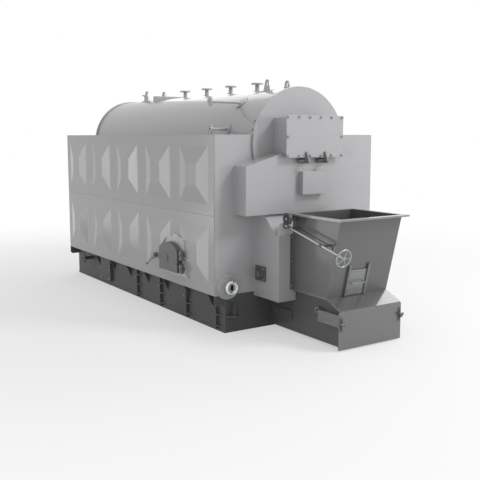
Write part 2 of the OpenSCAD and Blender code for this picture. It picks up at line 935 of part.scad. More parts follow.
module front_panel() {
    color(paint_dark) block([-front_panel_w / 2, panel_front_y, front_panel_gap],
        [front_panel_w / 2, panel_front_y + grate_t, front_panel_z - 12]);
}

module tension_guards() {
    guard_x = grate_w / 2;
    guard_y = panel_front_y + grate_t;
    ring_r = guard_h / 4;
    color(paint_dark) both_sides() {
        block([guard_x, guard_y, guard_z], [guard_x + guard_d, guard_y + guard_l, guard_z + guard_h]);
        translate([0, guard_y + guard_l + ring_r, guard_z + guard_h - 12]) difference() {
            bar_x(ring_r, guard_x, guard_x + guard_d - 14);
            bar_x(ring_r / 2, guard_x + 10, guard_x + guard_d);
        }
    }
}

// Slotted clamp plates with a stud, a nut and a wing on the front panel
module tension_clamps() {
    clamp_x = front_panel_w / 2 - clamp_w / 2 - clamp_inset;
    slot_r = clamp_stud_r - 2;
    slot_from = clamp_w / 2 - 2;
    slot_to = clamp_h / 2 - clamp_w / 2;
    nut_r = 2 * clamp_stud_r + 1;
    color(bare_metal) both_sides() translate([clamp_x, panel_front_y, clamp_z]) {
        difference() {
            block([-clamp_w / 2, -clamp_t, -clamp_h / 2], [clamp_w / 2, 0, clamp_h / 2]);
            block([-slot_r, -clamp_t - 1, -slot_to], [slot_r, cut, -slot_from]);
            block([-slot_r, -clamp_t - 1, slot_from], [slot_r, cut, slot_to]);
        }
        bar_y(clamp_stud_r, -clamp_stud_l, -clamp_t + 1);
        rotate([90, 0, 0]) translate([0, 0, clamp_t]) cylinder(r = nut_r, h = 2 * clamp_t, $fn = 6);
        block([-26, -clamp_stud_l + 12, -4], [26, -clamp_stud_l + 26, 4]);
    }
}

// Outline of the hopper's side in Y and Z, moved in by a given wall
module hopper_side(inset) {
    polygon([
        [house_y - inset, deck_z], [hopper_foot_y + inset, deck_z],
        [house_y - hopper_rim_d + inset, hopper_rim_z], [house_y - inset, hopper_rim_z]
    ]);
}

// The coal hopper, open at the top, with an upright flange on each side against the housing
module hopper() {
    wall_x = hopper_w / 2;
    color(paint_dark) difference() {
        union() {
            side_prism(-wall_x, wall_x) hopper_side(0);
            block([-wall_x - hopper_flange_w, house_y - hopper_t, deck_z],
                [wall_x + hopper_flange_w, house_y, house_front_z]);
        }
        translate([0, 0, cut]) side_prism(-wall_x + hopper_t, wall_x - hopper_t) hopper_side(hopper_t);
        side_prism(-wall_x + hopper_t, wall_x - hopper_t) hopper_side(hopper_t);
        translate([-wall_x, house_y - cross_y, cross_z]) bar_x(cross_r + 4, -cut, hopper_t + cut);
    }
}

// An angle round the mouth, its flat leg on the walls and its short leg hanging outside
module hopper_rim() {
    x = hopper_w / 2;
    y = house_y - hopper_rim_d;
    top = hopper_rim_z + hopper_t;
    color(paint_dark) difference() {
        block([-x - rim_w, y - rim_w, top - rim_lip], [x + rim_w, house_y, top]);
        block([-x - rim_w + hopper_t, y - rim_w + hopper_t, top - rim_lip - cut],
            [x + rim_w - hopper_t, house_y + cut, hopper_rim_z]);
        block([-x + hopper_t, y + hopper_t, hopper_rim_z - cut],
            [x - hopper_t, house_y - hopper_t, top + cut]);
    }
}

wall_tilt = atan((hopper_rim_d - hopper_d) / (hopper_rim_z - deck_z));

// Places a piece on the sloping front wall: X across, Z up the wall, -Y outwards
module on_front_wall(z) {
    translate([-gate_x, hopper_foot_y, deck_z]) rotate([wall_tilt, 0, 0]) translate([0, 0, z]) children();
}

module gate_guides() {
    slot = gate_t + 2 * gate_play;
    x = gate_w / 2 + gate_play;
    color(paint_dark) on_front_wall(6) {
        both_sides() {
            block([x, -slot - 8, 0], [x + 10, 0, guide_h]);
            block([x - 22, -slot - 8, 0], [x + 1, -slot, guide_h]);
        }
        block([-x - 1, -slot, 0], [x + 1, 0, 10]);
    }
}

module slide_gate() {
    grip_w = 190;
    color(paint_dark) on_front_wall(16 + seat_gap) {
        block([-gate_w / 2, -gate_t - gate_play, 0], [gate_w / 2, -gate_play, gate_h]);
        for (x = [-grip_w / 2, grip_w / 2]) {
            translate([x, 0, gate_h / 2]) bar_y(7, -56, -gate_t - 1);
        }
        translate([0, -56, gate_h / 2]) bar_x(7, -grip_w / 2 - 7, grip_w / 2 + 7);
    }
}

gear_x = hopper_w / 2 + gear_gap;
gear_reach = worm_wheel_r + worm_r + 1;
bearing_start = -52;

// Places a piece in the frame of the hand shaft: -Y down along the shaft, from the worm's middle
module along_shaft() {
    translate([-gear_x, house_y - cross_y, cross_z]) rotate([gear_tilt, 0, 0]) {
        translate([0, 0, -gear_reach]) children();
    }
}

// Outline in Y and Z of the curved band that runs under the worm, round the wheel's axis
module yoke_outline() {
    band_r = gear_reach + worm_r + 7;
    band_t = 10;
    intersection() {
        translate([0, gear_reach]) difference() {
            circle(r = band_r + band_t);
            circle(r = band_r);
        }
        translate([bearing_start - 8, -2 * band_r]) square([3 * band_r, 2 * band_r + gear_reach / 4]);
    }
}

// The band with the rear bearing of the hand shaft, its strip on the front of the ear
module gear_yoke() {
    half = worm_wheel_t / 2;
    strip_t = 6;
    strip_z = cross_z - gear_reach - worm_r;
    rear_start = worm_l / 2 + 4;
    rear_end = rear_start + 12;
    difference() {
        along_shaft() difference() {
            union() {
                side_prism(-half, half) yoke_outline();
                bar_y(hand_shaft_r + 3, rear_start, rear_end);
                block([-half / 2, rear_start, -worm_r - 12], [half / 2, rear_end, -hand_shaft_r + 3]);
            }
            bar_y(hand_shaft_r + run_gap, bearing_start - 30, rear_end + cut);
        }
        block([-gear_x - worm_wheel_t, house_y, house_front_z], [-gear_x + worm_wheel_t, front_y, smoke_z]);
    }
    block([-gear_x - half, house_y - strip_t, strip_z], [-gear_x + half, house_y, house_front_z + ear_h]);
}

// Two bearings on a bar along the hopper's wall
module gear_bearings() {
    bar_z = -44;
    bar_t = 12;
    ring_r = hand_shaft_r + 9;
    arm_z = -hand_shaft_r - 8;
    block([gear_gap - bar_t, -bearing_l - 60, bar_z], [gear_gap, bearing_start + 16, bar_z + gear_bar_w]);
    for (y = [bearing_start, -bearing_l]) difference() {
        union() {
            block([0, y - 14, arm_z], [gear_gap - cut, y + 14, arm_z + 16]);
            translate([0, y, 0]) bar_y(ring_r, -14, 14);
        }
        translate([0, y, 0]) bar_y(hand_shaft_r + run_gap, -30, 30);
    }
}

// Bearings, bar and band of the hand shaft, and the bearing of the cross shaft in the hopper's wall
module gear_brackets() {
    pad = 2 * cross_r;
    color(paint_dark) {
        difference() {
            along_shaft() gear_bearings();
            along_shaft() bar_y(hand_shaft_r + run_gap, -bearing_l - 90, 0);
        }
        gear_yoke();
        translate([-hopper_w / 2, house_y - cross_y, cross_z]) difference() {
            union() {
                block([-pad - 10, -pad, -pad], [0, pad, pad]);
                block([hopper_t, -pad, -pad], [hopper_t + pad, pad, pad]);
            }
            bar_x(cross_r + run_gap, -pad - 11, hopper_t + pad + 1);
        }
    }
}

module hand_shaft() {
    color(bare_metal) along_shaft() {
        bar_y(hand_shaft_r, -hand_shaft_l - 12, worm_l / 2 + 17);
        bar_y(worm_r, -worm_l / 2, worm_l / 2);
    }
}

module handwheel() {
    hub_r = 20;
    color(bare_metal) along_shaft() translate([0, -hand_shaft_l, 0]) rotate([90, 0, 0]) difference() {
        union() {
            rotate_extrude() translate([handwheel_r, 0]) circle(r = rim_bar_r, $fn = 24);
            translate([0, 0, -14]) cylinder(r = hub_r, h = 28);
            for (i = [0 : spoke_count - 1]) {
                rotate(i * 360 / spoke_count) rotate([0, 90, 0]) cylinder(r = 6, h = handwheel_r);
            }
        }
        translate([0, 0, -20]) cylinder(r = hand_shaft_r + seat_gap / 3, h = 40);
    }
}

// A toothed wheel between two smooth cheeks, with a sunk web and five ribs on each face
module worm_wheel() {
    cheek = 5;
    web_t = 10;
    rim_in = worm_wheel_r - 15;
    hub_r = 24;
    tooth = 360 / worm_teeth;
    color(paint_dark) translate([-gear_x, house_y - cross_y, cross_z]) rotate([0, 90, 0]) difference() {
        union() {
            difference() {
                cylinder(r = worm_wheel_r, h = worm_wheel_t, center = true);
                for (s = [-1, 1]) translate([0, 0, s * (web_t / 2 + worm_wheel_t)]) {
                    cylinder(r = rim_in, h = 2 * worm_wheel_t, center = true);
                }
                for (i = [0 : worm_teeth - 1]) rotate((i + 0.5) * tooth) translate([worm_wheel_r, 0, 0]) {
                    cube([10, 5, worm_wheel_t - 2 * cheek], center = true);
                }
            }
            for (i = [0 : 4]) rotate(i * 72) {
                block([0, -5, -worm_wheel_t / 2 + 3], [rim_in + 2, 5, worm_wheel_t / 2 - 3]);
            }
            cylinder(r = hub_r, h = worm_wheel_t + 8, center = true);
        }
        cylinder(r = cross_r + seat_gap / 3, h = worm_wheel_t + 10, center = true);
    }
}

// The cross shaft ends in the chain drum just inside the hopper's wall
module cross_shaft() {
    inner = -hopper_w / 2 + cross_reach;
    color(bare_metal) translate([0, house_y - cross_y, cross_z]) {
        bar_x(cross_r, -gear_x - 26, inner);
        bar_x(34, inner - 46, inner - 6);
    }
}

frame_face = -side_x - frame_d;
door_gap = 2;
door_back = frame_face - door_gap;
door_face = door_back - door_t;
hinge_y = front_y + door_y - door_w / 2 - 65;
hinge_x = frame_face - 42;
hinge_pin_r = 12;
hinge_r = 30;
hinge_l = 104;
knuckle_l = 28;
hinge_zs = [door_z + 64, door_z + 240];

// The hood on the flange, its arch bevelled
module frame_hood() {
    bevel = 27;
    hood_r = frame_r - frame_lip;
    intersection() {
        translate([-side_x - frame_flange_t + cut, front_y + frame_y, frame_arch_z]) rotate([0, -90, 0]) {
            cylinder(r1 = hood_r, r2 = hood_r - bevel, h = frame_d - frame_flange_t + cut, $fn = 180);
        }
        side_prism(frame_face, -side_x) frame_outline(-frame_lip);
    }
}

// The cast frame with its flange, its hood and the fixed hinge knuckles
module door_frame() {
    rim = 40;
    color(paint_light) difference() {
        union() {
            side_prism(-side_x - frame_flange_t, -core_x) frame_outline(0);
            frame_hood();
            for (z = hinge_zs) for (s = [-1, 1]) {
                bottom = z + s * (hinge_l - knuckle_l) / 2 - knuckle_l / 2;
                translate([hinge_x, hinge_y, bottom]) cylinder(r = hinge_r, h = knuckle_l);
                block([hinge_x, hinge_y - 12, bottom], [-side_x - 2, hinge_y + 24, bottom + knuckle_l]);
            }
        }
        side_prism(-side_x - frame_d - cut, -core_x + cut) {
            translate([front_y + door_y - door_w / 2 + rim, door_z + rim]) {
                square([door_w - 2 * rim, door_h - 3 * rim]);
            }
        }
        for (z = hinge_zs) translate([hinge_x, hinge_y, z - hinge_l / 2 - cut]) {
            cylinder(r = hinge_pin_r + run_gap, h = hinge_l + 2 * cut);
        }
    }
}

// Outline of the door in Y and Z
module door_outline() {
    translate([front_y + door_y, door_z]) intersection() {
        translate([-door_w / 2, 0]) square([door_w, door_h]);
        translate([0, door_h - door_arch_r]) circle(r = door_arch_r, $fn = 180);
    }
}

latch_y = front_y + door_y + door_w / 2 + 102;
latch_z = door_z + 154;
latch_pin_r = 9;
latch_plate_t = 24;
latch_face = door_face + 4;

// Arm on the rear edge of the door that carries the latch
module latch_arm() {
    edge_y = front_y + door_y + door_w / 2;
    side_prism(latch_face, latch_face + latch_plate_t) polygon([
        [edge_y - 28, door_z + 122], [edge_y - 28, door_z + 211],
        [latch_y + 66, door_z + 186], [latch_y + 70, door_z + 170], [latch_y + 66, door_z + 154]
    ]);
}

module side_door() {
    knuckle = hinge_l - 2 * knuckle_l - 4;
    lining = 60;
    color(paint_dark) {
        difference() {
            side_prism(door_face, door_back) door_outline();
            side_prism(door_back - 20, door_back + cut) {
                translate([front_y + door_y - door_w / 2 + lining, door_z + lining]) {
                    square([door_w - 2 * lining, door_h - 160]);
                }
            }
        }
        for (z = hinge_zs) {
            translate([hinge_x, hinge_y, z - knuckle / 2]) cylinder(r = hinge_r, h = knuckle);
            block([hinge_x - 20, hinge_y, z - knuckle / 2],
                [hinge_x + 16, front_y + door_y - door_w / 2 + 1, z + knuckle / 2]);
            block([door_face - 14, hinge_y + 40, z - hinge_l / 2],
                [door_face + cut, hinge_y + 110, z + hinge_l / 2]);
            translate([hinge_x, hinge_y, z - hinge_l / 2]) cylinder(r = hinge_pin_r, h = hinge_l);
        }
        translate([door_face, front_y + door_y + 45, door_z + 172]) bar_x(52, -10, 1);
        latch_arm();
        translate([latch_face, latch_y, latch_z]) {
            bar_x(latch_pin_r, -32, 1);
            bar_x(15, -38, -30 + seat_gap);
        }
    }
}

// The latch lever with its knob, turning on a stud in the door's arm
module door_latch() {
    arm = 110;
    rod = 168;
    color(paint_dark) translate([latch_face - seat_gap, latch_y, latch_z]) difference() {
        union() {
            bar_x(20, -28, 0);
            rotate([-31, 0, 0]) {
                block([-22, 0, -11], [-8, arm, 11]);
                translate([-15, arm - 1, 0]) rotate([-90, 0, 0]) cylinder(r = 7, h = rod + 1);
                translate([-15, arm + rod, 0]) sphere(r = 15);
            }
        }
        bar_x(latch_pin_r + run_gap, -29, 1);
    }
}

ash_x = -grate_w / 2;
ash_y = front_y - 140;
ash_l = 300;
ash_z = 152;
ash_h = 124;
ash_hinge = [ash_x - 14, ash_y + 12];
ash_pin_r = 5;

// Knuckles and frame strip of the small door, on the left side plate
module ash_frame() {
    color(paint_dark) {
        block([ash_x - 5, ash_y + 24, ash_z - 10], [ash_x, ash_y + 40, ash_z + ash_h + 10]);
        difference() {
            for (z = [ash_z + 12, ash_z + ash_h - 36]) {
                translate([ash_hinge.x, ash_hinge.y, z]) cylinder(r = 10, h = 24);
                block([ash_hinge.x, ash_hinge.y - 5, z], [ash_x, ash_hinge.y + 5, z + 24]);
                block([ash_x - 5, ash_hinge.y + 4, z], [ash_x, ash_y + 25, z + 24]);
            }
            translate([ash_hinge.x, ash_hinge.y, ash_z]) cylinder(r = ash_pin_r + run_gap, h = ash_h);
        }
    }
}

// A small door on the grate's left side plate, hung at its rear edge
module ash_door() {
    knuckle = 20;
    color(paint_dark) {
        block([ash_x - 18, ash_y - ash_l, ash_z], [ash_x - 6, ash_y - 10, ash_z + ash_h]);
        for (z = [ash_z + 40, ash_z + ash_h - 40 - knuckle]) {
            translate([ash_hinge.x, ash_hinge.y, z]) cylinder(r = 10, h = knuckle);
            block([ash_hinge.x - 4, ash_y - 12, z], [ash_hinge.x + 4, ash_hinge.y, z + knuckle]);
        }
        translate([ash_hinge.x, ash_hinge.y, ash_z + 4]) cylinder(r = ash_pin_r, h = ash_h - 8);
        translate([ash_x - 18, ash_y - ash_l + 30, ash_z + ash_h / 2]) bar_x(9, -26, 1);
    }
}

base_box();
left_posts();
right_posts();
overhang_brackets();
base_covers();
tow_lugs();
blowdown_stub();
casing_core();
front_plate();
rear_plate();
top_plates();
left_upper_panels();
left_lower_panels();
right_upper_panels();
right_lower_panels();
drum_shell();
drum_front_head();
drum_rear_head();
steam_nozzles();
vent_nozzle();
gauge_stubs();
lifting_lugs();
saddle_beam();
flue_outlet();
smoke_box();
smoke_box_hatch();
upper_box();
upper_cover();
cover_hooks();
header_ends();
grate_housing();
housing_ears();
housing_hatches();
grate_side_plates();
grate_deck();
apron();
front_panel();
tension_guards();
tension_clamps();
hopper();
hopper_rim();
gate_guides();
slide_gate();
gear_brackets();
hand_shaft();
handwheel();
worm_wheel();
cross_shaft();
door_frame();
side_door();
door_latch();
ash_frame();
ash_door();
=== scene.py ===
import json
import math

import bmesh
import bpy
from mathutils import Matrix, Vector


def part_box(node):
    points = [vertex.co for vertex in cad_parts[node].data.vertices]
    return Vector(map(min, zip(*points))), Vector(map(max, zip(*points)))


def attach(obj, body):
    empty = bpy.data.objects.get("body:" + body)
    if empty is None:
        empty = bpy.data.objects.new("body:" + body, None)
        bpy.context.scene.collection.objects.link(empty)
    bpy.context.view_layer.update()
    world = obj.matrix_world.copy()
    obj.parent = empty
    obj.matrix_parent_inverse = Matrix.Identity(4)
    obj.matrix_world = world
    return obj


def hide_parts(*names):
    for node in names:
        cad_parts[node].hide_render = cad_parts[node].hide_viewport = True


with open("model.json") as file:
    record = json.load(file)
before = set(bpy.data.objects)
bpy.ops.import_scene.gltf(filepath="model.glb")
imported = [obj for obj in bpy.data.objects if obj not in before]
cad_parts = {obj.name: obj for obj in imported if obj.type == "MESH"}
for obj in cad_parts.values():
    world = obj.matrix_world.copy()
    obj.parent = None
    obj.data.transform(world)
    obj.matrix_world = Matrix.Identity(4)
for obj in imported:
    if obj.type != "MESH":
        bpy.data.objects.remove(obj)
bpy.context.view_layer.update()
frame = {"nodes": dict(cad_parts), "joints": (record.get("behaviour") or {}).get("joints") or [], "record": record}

# The photograph's camera, found from the casing's corners
CAMERA_PLACE = (-5.628, -9.555, 2.364)
CAMERA_YAW = math.radians(-33.738)
CAMERA_PITCH = math.radians(90 - 7.315)
FOCAL_PIXELS = 716.67
PICTURE_SIDE = 480
CENTRE_PIXEL = (242.31, 228.79)


def add_camera():
    """The photograph's camera."""
    data = bpy.data.cameras.new("camera")
    data.sensor_fit = "HORIZONTAL"
    data.lens = FOCAL_PIXELS / PICTURE_SIDE * data.sensor_width
    data.shift_x = 0.5 - CENTRE_PIXEL[0] / PICTURE_SIDE
    data.shift_y = CENTRE_PIXEL[1] / PICTURE_SIDE - 0.5
    data.clip_end = 200
    camera = bpy.data.objects.new("camera", data)
    camera.location = CAMERA_PLACE
    camera.rotation_euler = (CAMERA_PITCH, 0, CAMERA_YAW)
    bpy.context.scene.collection.objects.link(camera)
    bpy.context.scene.camera = camera


# The long side of the box over the drum follows the edge of the bright band on the drum
SKY_BOX_ALONG = Vector((0.47, 0.506, -0.725))
SKY_BOX_ACROSS = Vector((-0.809, 0.456, -0.207))
# The card on the floor shines upwards, turned a little away from the casing's length
CARD_TURN = math.radians(24.2)


def add_area_light(name, place, size, watts, target=None):
    """A rectangular lamp that the camera doesn't see, pointed at its target where it has one."""
    data = bpy.data.lights.new(name, "AREA")
    data.shape = "RECTANGLE"
    data.size, data.size_y = size
    data.energy = watts
    lamp = bpy.data.objects.new(name, data)
    lamp.location = place
    if target:
        lamp.rotation_euler = (Vector(target) - Vector(place)).to_track_quat("-Z", "Y").to_euler()
    lamp.visible_camera = False
    bpy.context.scene.collection.objects.link(lamp)
    return lamp


def add_lights():
    """Lamps from the front and the right, and bright boxes that the facets, the drum and the apron mirror."""
    key = add_area_light("key", (8.4, -13.2, 2.9), (3.6, 3.6), 290, target=(0, -1.5, 2.0))
    key.visible_glossy = False
    left_box = add_area_light("left_box", (-10.2, 6.1, 1.6), (5.3, 3.2), 130, target=(-2.2, 4.1, 1.4))
    far_box = add_area_light("far_box", (-13.7, 14.1, 1.6), (3.6, 3.2), 75, target=(-1.25, 1.1, 1.6))
    left_card = add_area_light("left_card", (-7.65, 4.35, 0.03), (3.6, 12.2), 300)
    left_card.rotation_euler = (math.pi, 0, CARD_TURN)
    for mirrored in (left_box, far_box, left_card):
        mirrored.visible_diffuse = False
    add_area_light("front_top", (4.6, -8.4, 8.3), (3, 2.5), 480, target=(0, -2.6, 1.3))
    add_area_light("right_top", (9.9, 0.6, 9.7), (4.5, 4.5), 200, target=(0.3, -3.7, 0.5))
    sky_box = add_area_light("sky_box", (6.83, 10.1, 7.28), (9, 6), 200)
    facing = SKY_BOX_ALONG.cross(SKY_BOX_ACROSS)
    sky_box.rotation_euler = Matrix((SKY_BOX_ALONG, SKY_BOX_ACROSS, facing)).transposed().to_euler()


def put(tree, kind, values=None, **settings):
    """A new shader node, with its settings and the values of its inputs."""
    node = tree.nodes.new(kind)
    for name, setting in settings.items():
        setattr(node, name, setting)
    for name, value in (values or {}).items():
        node.inputs[name].default_value = value
    return node


def join(tree, *links):
    """Links given as (node, output, node, input)."""
    for from_node, output, to_node, input_ in links:
        tree.links.new(from_node.outputs[output], to_node.inputs[input_])


def white_for_rays(tree, seen, unseen, target):
    """Camera, glossy and transmission rays meet the seen shader, and all other rays the unseen one."""
    path = put(tree, "ShaderNodeLightPath")
    first = put(tree, "ShaderNodeMath", operation="MAXIMUM")
    either = put(tree, "ShaderNodeMath", operation="MAXIMUM")
    mix = put(tree, "ShaderNodeMixShader")
    join(tree, (path, "Is Camera Ray", first, 0), (path, "Is Glossy Ray", first, 1),
         (first, 0, either, 0), (path, "Is Transmission Ray", either, 1), (either, 0, mix, 0),
         (unseen, 0, mix, 1), (seen, 0, mix, 2), (mix, 0, target, "Surface"))


WHITE = (1, 1, 1, 1)
WORLD_LIGHT = 0.77


def add_world():
    """A backdrop that is plain white where it is seen, and lights the object at a lower level."""
    world = bpy.data.worlds.new("studio")
    world.use_nodes = True
    bpy.context.scene.world = world
    tree = world.node_tree
    tree.nodes.clear()
    out = put(tree, "ShaderNodeOutputWorld")
    seen = put(tree, "ShaderNodeBackground", {"Color": WHITE})
    unseen = put(tree, "ShaderNodeBackground", {"Color": WHITE, "Strength": WORLD_LIGHT})
    white_for_rays(tree, seen, unseen, out)


FLOOR_SIDE = 400
# The floor as the object's own light meets it
FLOOR_MATT = (0.86, 0.86, 0.86, 1)
# The floor as it is seen: a grey that takes the shadow, with a glow added to it
FLOOR_CATCH = (0.40, 0.40, 0.40, 1)
FLOOR_GLOW = 0.47
# Between these two distances from the middle of the boiler it fades to the plain white of the backdrop
FLOOR_NEAR = 3.5
FLOOR_FAR = 10.0


def floor_material():
    """A pale floor that takes a soft shadow near the object."""
    material = bpy.data.materials.new("pale_floor")
    material.use_nodes = True
    tree = material.node_tree
    tree.nodes.clear()
    out = put(tree, "ShaderNodeOutputMaterial")
    matt = put(tree, "ShaderNodeBsdfDiffuse", {"Color": FLOOR_MATT})
    catch = put(tree, "ShaderNodeBsdfDiffuse", {"Color": FLOOR_CATCH})
    glow = put(tree, "ShaderNodeEmission", {"Strength": FLOOR_GLOW})
    both = put(tree, "ShaderNodeAddShader")
    place = put(tree, "ShaderNodeTexCoord")
    reach = put(tree, "ShaderNodeVectorMath", operation="LENGTH")
    fade = put(tree, "ShaderNodeMapRange", {"From Min": FLOOR_NEAR, "From Max": FLOOR_FAR},
               interpolation_type="SMOOTHSTEP")
    white = put(tree, "ShaderNodeEmission")
    faded = put(tree, "ShaderNodeMixShader")
    join(tree, (catch, 0, both, 0), (glow, 0, both, 1),
         (place, "Object", reach, 0), (reach, "Value", fade, 0),
         (fade, 0, faded, 0), (both, 0, faded, 1), (white, 0, faded, 2))
    white_for_rays(tree, faded, matt, out)
    return material


def add_floor():
    """The stage that the boiler stands on."""
    mesh = bpy.data.meshes.new("floor")
    work = bmesh.new()
    bmesh.ops.create_grid(work, x_segments=1, y_segments=1, size=FLOOR_SIDE / 2)
    work.to_mesh(mesh)
    work.free()
    floor = bpy.data.objects.new("floor", mesh)
    bpy.context.scene.collection.objects.link(floor)
    mesh.materials.append(floor_material())


PAINT_INPUTS = (
    ("Tone", "NodeSocketColor", (0.5, 0.5, 0.5, 1)),
    ("Drift", "NodeSocketFloat", 0.05),
    ("Edge", "NodeSocketFloat", 0.2),
    ("Dust", "NodeSocketFloat", 0.1),
    ("Gloss", "NodeSocketFloat", 0.4),
)
PAINT_OUTPUTS = (
    ("Color", "NodeSocketColor"),
    ("Roughness", "NodeSocketFloat"),
    ("Height", "NodeSocketFloat"),
    ("Soft Normal", "NodeSocketVector"),
)
# Pale tone of the edges: partly wear, partly a painted highlight
WEAR_AND_HIGHLIGHT_TONE = (0.8, 0.8, 0.8, 1)
DUST_TONE = (0.60, 0.59, 0.57, 1)
# The colour sockets of a Mix node, whose names aren't theirs alone
MIX_A, MIX_B, MIX_RESULT = 6, 7, 2


def paint_group():
    """Sprayed paint: a tone that drifts a little, pale edges that are partly wear and partly a painted highlight,
    dust on faces that look up, fine peel.
    """
    group = bpy.data.node_groups.new("sprayed_paint", "ShaderNodeTree")
    for name, kind, value in PAINT_INPUTS:
        group.interface.new_socket(name, in_out="INPUT", socket_type=kind).default_value = value
    for name, kind in PAINT_OUTPUTS:
        group.interface.new_socket(name, in_out="OUTPUT", socket_type=kind)
    enter = put(group, "NodeGroupInput")
    leave = put(group, "NodeGroupOutput")
    place = put(group, "ShaderNodeTexCoord")
    geometry = put(group, "ShaderNodeNewGeometry")
    broad = put(group, "ShaderNodeTexNoise", {"Scale": 1.7, "Detail": 5})
    fine = put(group, "ShaderNodeTexNoise", {"Scale": 320, "Detail": 2})
    join(group, (place, "Object", broad, "Vector"), (place, "Object", fine, "Vector"))

    # Brightness drifts round 1 by the Drift value
    centred = put(group, "ShaderNodeMath", {1: 0.5}, operation="SUBTRACT")
    drift = put(group, "ShaderNodeMath", {2: 1}, operation="MULTIPLY_ADD")
    toned = put(group, "ShaderNodeVectorMath", operation="SCALE")
    join(group, (broad, "Fac", centred, 0), (centred, 0, drift, 0), (enter, "Drift", drift, 1),
         (enter, "Tone", toned, 0), (drift, 0, toned, "Scale"))

    # The rounded normal differs from the flat one only along edges, which are made paler there, partly as wear and
    # partly as a painted highlight
    soft = put(group, "ShaderNodeBevel", {"Radius": 0.005}, samples=6)
    facing = put(group, "ShaderNodeVectorMath", operation="DOT_PRODUCT")
    edge = put(group, "ShaderNodeMapRange", {"From Min": 0.998, "From Max": 0.80})
    wear_and_highlight = put(group, "ShaderNodeMath", operation="MULTIPLY")
    bright = put(group, "ShaderNodeMix", {MIX_B: WEAR_AND_HIGHLIGHT_TONE}, data_type="RGBA")
    join(group, (soft, 0, facing, 0), (geometry, "Normal", facing, 1), (facing, "Value", edge, "Value"),
         (edge, 0, wear_and_highlight, 0), (enter, "Edge", wear_and_highlight, 1),
         (wear_and_highlight, 0, bright, "Factor"), (toned, 0, bright, MIX_A))

    # Dust settles where the surface looks up
    split = put(group, "ShaderNodeSeparateXYZ")
    up = put(group, "ShaderNodeMapRange", {"From Min": 0.55, "From Max": 1})
    patch = put(group, "ShaderNodeMath", operation="MULTIPLY")
    dusty = put(group, "ShaderNodeMath", operation="MULTIPLY")
    dust = put(group, "ShaderNodeMix", {MIX_B: DUST_TONE}, data_type="RGBA")
    join(group, (geometry, "Normal", split, 0), (split, "Z", up, "Value"),
         (up, 0, patch, 0), (broad, "Fac", patch, 1), (patch, 0, dusty, 0), (enter, "Dust", dusty, 1),
         (dusty, 0, dust, "Factor"), (bright, MIX_RESULT, dust, MIX_A), (dust, MIX_RESULT, leave, "Color"))

    # Roughness follows the broad noise and the dust
    rough = put(group, "ShaderNodeMath", {1: 0.10}, operation="MULTIPLY_ADD")
    dull = put(group, "ShaderNodeMath", {1: 0.5}, operation="MULTIPLY_ADD")
    join(group, (centred, 0, rough, 0), (enter, "Gloss", rough, 2),
         (dusty, 0, dull, 0), (rough, 0, dull, 2), (dull, 0, leave, "Roughness"),
         (fine, "Fac", leave, "Height"), (soft, 0, leave, "Soft Normal"))
    return group


PAINT = paint_group()
PEEL_STRENGTH = 0.25
COAT_ROUGHNESS = 0.09


def painted(name, tone, drift=0.05, edge=0.12, dust=0.06, gloss=0.42, peel=0.0003, coat=0.0, shine=0.5):
    """A paint made of the shared group, a Bump for its peel and a Principled shader."""
    material = bpy.data.materials.new(name)
    material.use_nodes = True
    tree = material.node_tree
    shader = tree.nodes["Principled BSDF"]
    shader.inputs["Coat Weight"].default_value = coat
    shader.inputs["Coat Roughness"].default_value = COAT_ROUGHNESS
    shader.inputs["Specular IOR Level"].default_value = shine
    values = {"Tone": (*tone, 1), "Drift": drift, "Edge": edge, "Dust": dust, "Gloss": gloss}
    paint = put(tree, "ShaderNodeGroup", values, node_tree=PAINT)
    bump = put(tree, "ShaderNodeBump", {"Strength": PEEL_STRENGTH, "Distance": peel})
    join(tree, (paint, "Color", shader, "Base Color"), (paint, "Roughness", shader, "Roughness"),
         (paint, "Height", bump, "Height"), (paint, "Soft Normal", bump, "Normal"),
         (bump, 0, shader, "Normal"))
    return material


def grey(value):
    """The dark enamel's grey, a little towards green."""
    return (value, value * 1.04, value * 1.02)


def cool_grey(value):
    """The light enamel's grey, a little towards blue."""
    return (value, value, value * 1.028)


def steel(name, tone, gloss, metal=0.85):
    """Bare metal with the shared surface group."""
    material = painted(name, tone, drift=0.12, edge=0.3, dust=0.0, gloss=gloss, peel=0.0002)
    material.node_tree.nodes["Principled BSDF"].inputs["Metallic"].default_value = metal
    return material


def second_tone(material, tone, origin, start, end, direction=None):
    """Turns the paint to a second tone where a distance from the origin grows from start to end.

    It is the distance along a direction or, without one, the distance in plan to a face that looks back.
    """
    tree = material.node_tree
    shader, paint = tree.nodes["Principled BSDF"], tree.nodes["Group"]
    place = put(tree, "ShaderNodeTexCoord")
    offset = put(tree, "ShaderNodeVectorMath", {1: origin}, operation="SUBTRACT")
    along = put(tree, "ShaderNodeVectorMath", operation="DOT_PRODUCT")
    if direction:
        along.inputs[1].default_value = direction
        join(tree, (offset, 0, along, 0))
    else:
        geometry = put(tree, "ShaderNodeNewGeometry")
        back_in_plan = put(tree, "ShaderNodeVectorMath", {1: (-1, -1, 0)}, operation="MULTIPLY")
        join(tree, (offset, 0, back_in_plan, 0), (back_in_plan, 0, along, 0), (geometry, "Normal", along, 1))
    mask = put(tree, "ShaderNodeMapRange", {"From Min": start, "From Max": end})
    mix = put(tree, "ShaderNodeMix", {MIX_B: (*tone, 1)}, data_type="RGBA")
    join(tree, (place, "Object", offset, 0), (along, "Value", mask, 0), (mask, 0, mix, 0),
         (paint, "Color", mix, MIX_A), (mix, MIX_RESULT, shader, "Base Color"))
    return material


